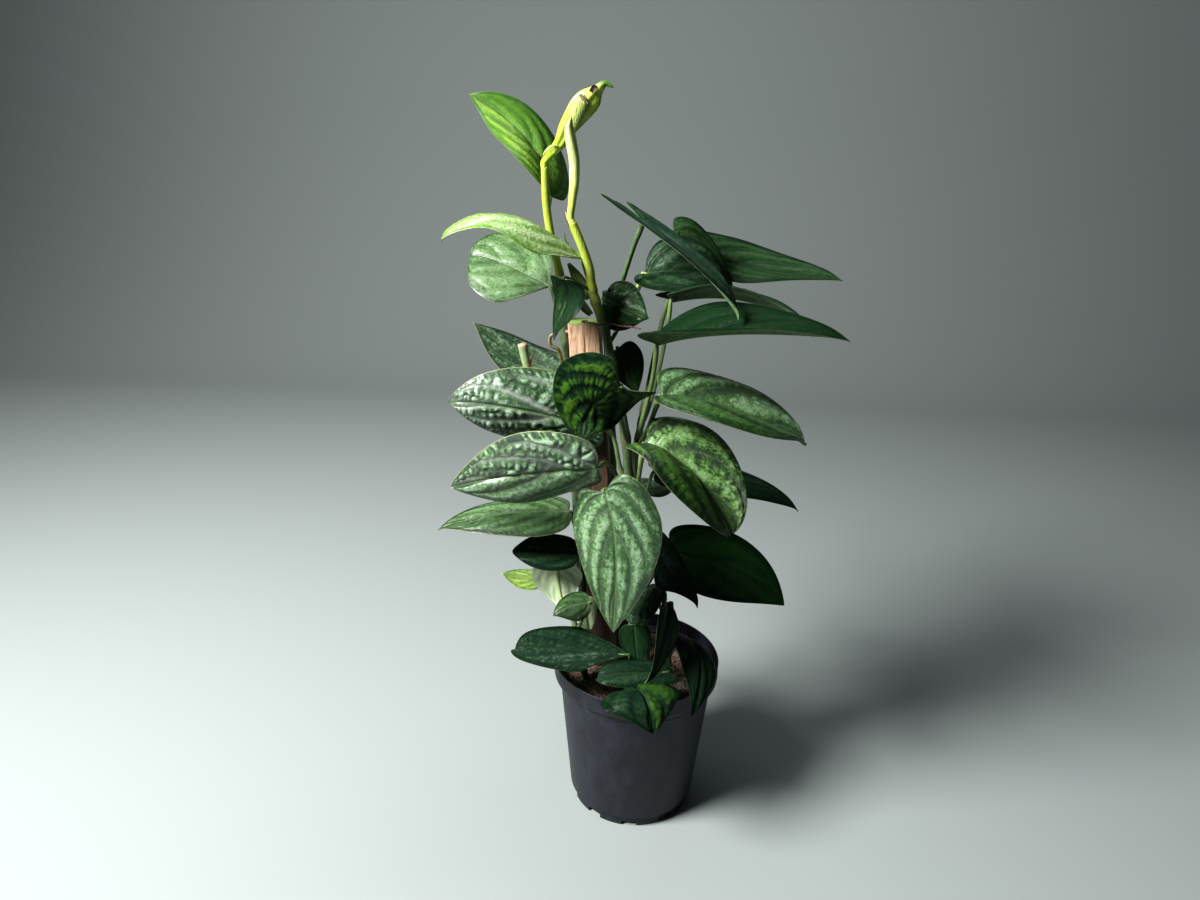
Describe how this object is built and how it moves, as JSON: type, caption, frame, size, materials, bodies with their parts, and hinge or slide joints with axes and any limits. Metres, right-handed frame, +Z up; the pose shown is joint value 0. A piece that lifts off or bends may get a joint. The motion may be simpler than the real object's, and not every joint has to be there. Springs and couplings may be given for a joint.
{
  "type": "potted climbing monstera",
  "caption": "Climbing plant with puckered oval green leaves, tied to a square wooden post and growing in a tapered black nursery pot with drain notches.",
  "frame": {"origin": "centre of the pot's flat base, which rests on the ground", "axes": "+Z up out of the pot; -Y is the plant's front, where its largest leaves face; +X is to the right seen from the front"},
  "size_m": [0.381, 0.2672, 0.7127],
  "materials": {
    "pot_plastic": "matte",
    "potting_mix": "matte",
    "post_wood": "matte",
    "stem_skin": "satin",
    "leaf_blade": "satin",
    "young_leaf": "satin",
    "tie_wire": "matte"
  },
  "bodies": {
    "root": {"arching_young_leaf": "young_leaf", "back_leaf_high": "leaf_blade", "back_leaf_low": "leaf_blade", "back_leaf_middle": "leaf_blade", "back_stem": "stem_skin", "behind_left_leaf": "leaf_blade", "behind_right_leaf": "leaf_blade", "broad_right_leaf": "leaf_blade", "cupped_right_leaf": "leaf_blade", "curled_left_leaf": "leaf_blade", "curled_stalk": "stem_skin", "cut_stalk": "stem_skin", "dark_leaf_at_post": "leaf_blade", "edge_on_leaf": "leaf_blade", "far_right_leaf": "leaf_blade", "front_leaf": "leaf_blade", "front_stem": "stem_skin", "hanging_leaf_at_post": "leaf_blade", "heart_leaf": "leaf_blade", "high_right_leaf": "leaf_blade", "leaf_behind_post": "leaf_blade", "left_stem": "stem_skin", "long_right_leaf": "leaf_blade", "low_left_stem": "stem_skin", "low_right_stem": "stem_skin", "lower_left_leaf": "leaf_blade", "nursery_pot": "pot_plastic", "pale_drooping_leaf": "young_leaf", "pale_left_leaf": "young_leaf", "pale_upturned_leaf": "leaf_blade", "potting_soil": "potting_mix", "right_stem": "stem_skin", "rim_leaf_front": "leaf_blade", "rim_leaf_left": "leaf_blade", "rim_leaf_middle": "leaf_blade", "rim_leaf_right": "leaf_blade", "rolled_leaf": "young_leaf", "shaded_right_leaf": "leaf_blade", "silver_leaf_high": "leaf_blade", "silver_left_leaf": "leaf_blade", "silver_right_leaf": "leaf_blade", "small_bluish_leaf": "leaf_blade", "small_dark_leaf": "leaf_blade", "small_left_leaf": "leaf_blade", "small_silver_leaf": "leaf_blade", "thin_right_leaf": "leaf_blade", "top_leaf": "young_leaf", "tucked_right_leaf": "leaf_blade", "twist_tie": "tie_wire", "unfurling_leaf": "young_leaf", "upper_left_leaf": "leaf_blade", "wooden_post": "post_wood"}
  },
  "joints": []
}
